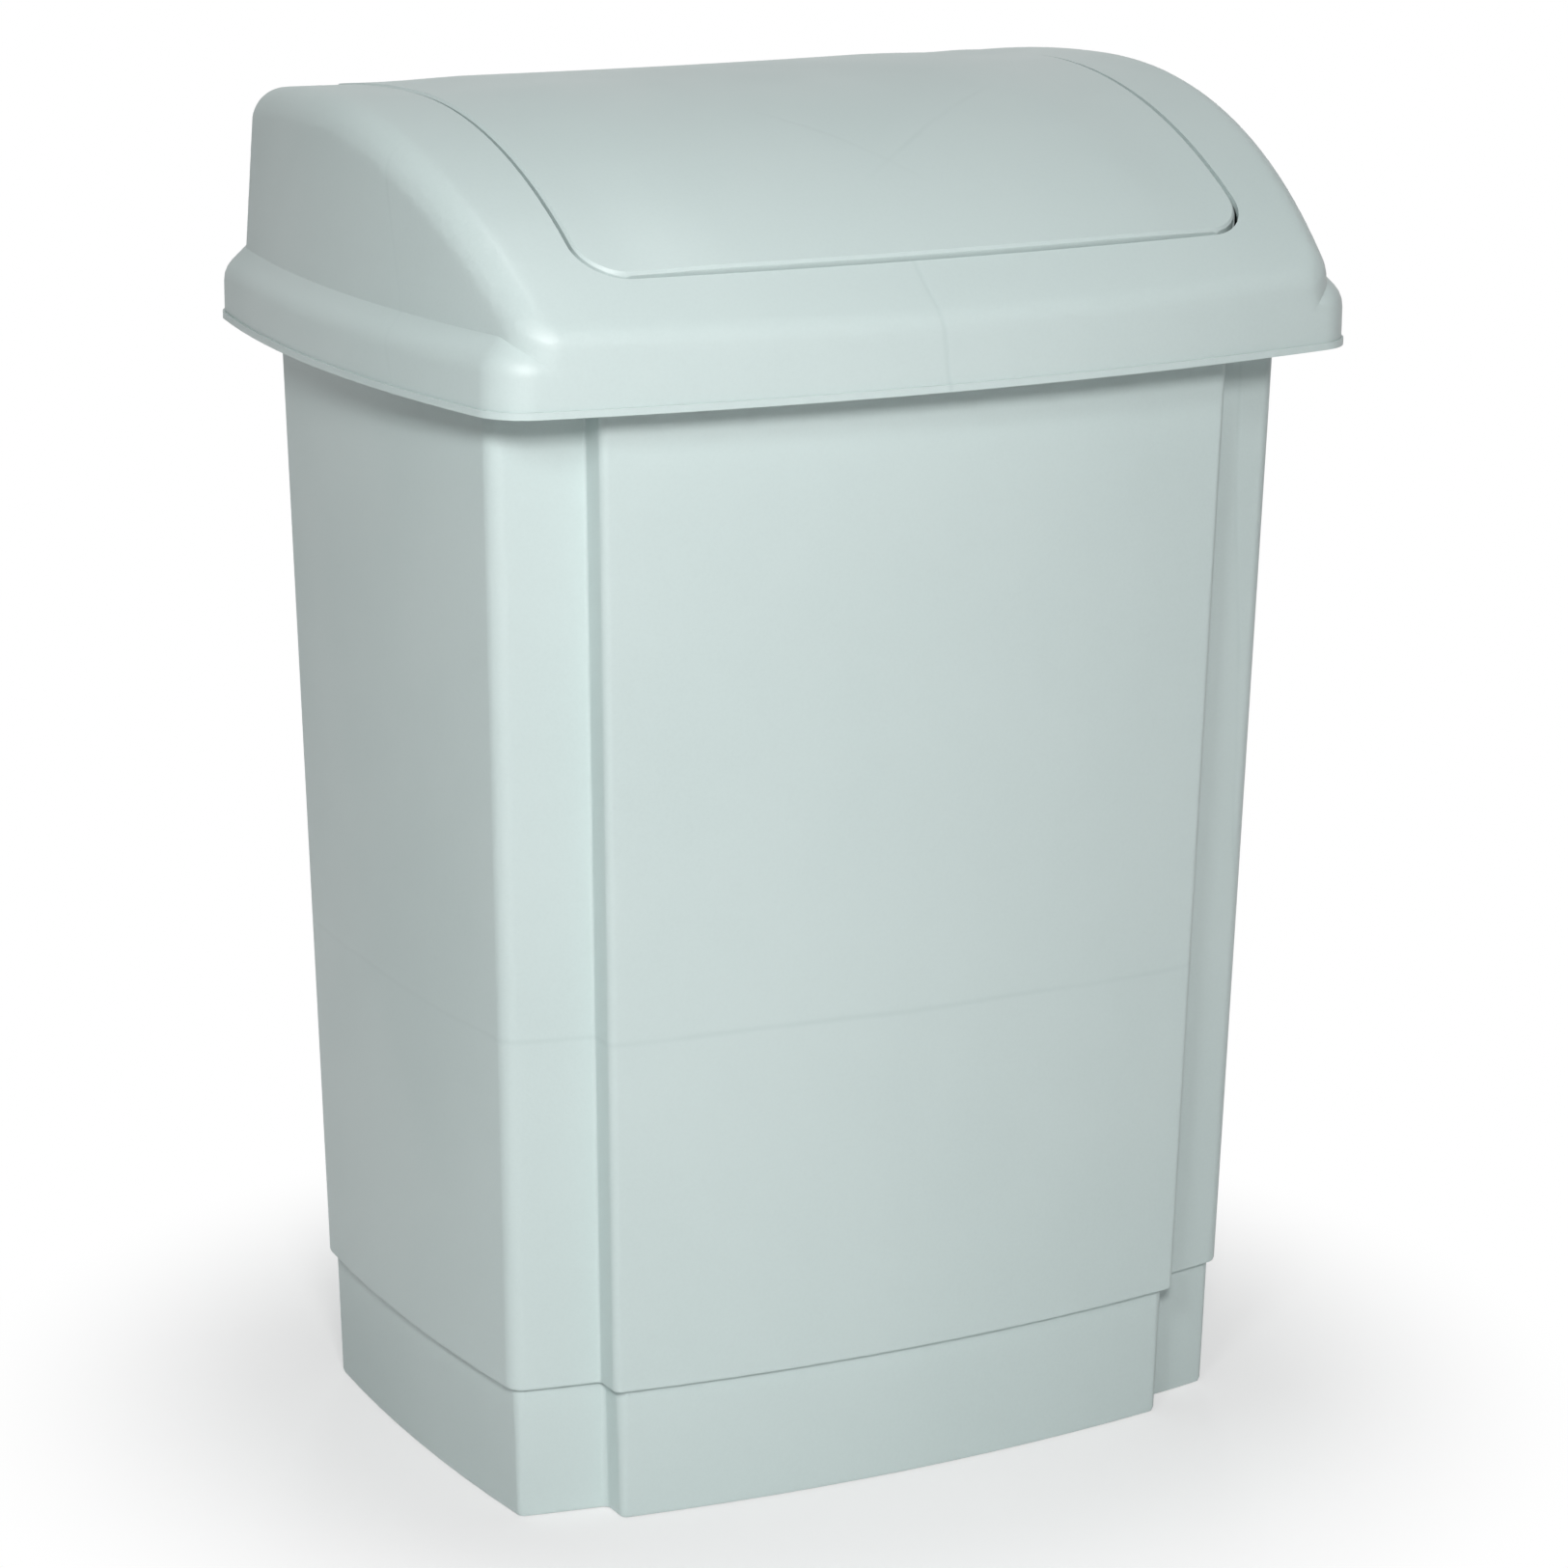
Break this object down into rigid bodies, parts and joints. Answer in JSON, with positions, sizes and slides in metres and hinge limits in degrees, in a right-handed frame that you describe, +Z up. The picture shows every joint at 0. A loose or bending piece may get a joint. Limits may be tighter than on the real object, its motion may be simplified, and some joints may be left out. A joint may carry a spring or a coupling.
{
  "type": "swing-lid waste bin",
  "caption": "Tall tapered waste bin with raised front and back panels, a lift-off arched hood and a flap that swings in the hood to let rubbish in.",
  "frame": {"origin": "on the floor, under the middle of the tub", "axes": "+Z up, -Y towards the front where the flap slopes down, +X to the right seen from behind the hood"},
  "size_m": [0.3414, 0.2654, 0.4696],
  "materials": {
    "tub_plastic": "fine matte grain",
    "hood_plastic": "satin",
    "flap_plastic": "satin"
  },
  "bodies": {
    "tub": {"tub": "tub_plastic"},
    "hood": {"hood": "hood_plastic"},
    "flap": {"flap": "flap_plastic"}
  },
  "joints": [
    {"name": "hood_lift", "type": "slide", "parent": "tub", "child": "hood", "axis": [0, 0, 1], "range_m": [0, 0.15]},
    {"name": "flap_swing", "type": "hinge", "parent": "hood", "child": "flap", "pos_m": [0, -0.0069, 0.46], "axis": [1, 0, 0], "range_deg": [-75, 75]}
  ]
}
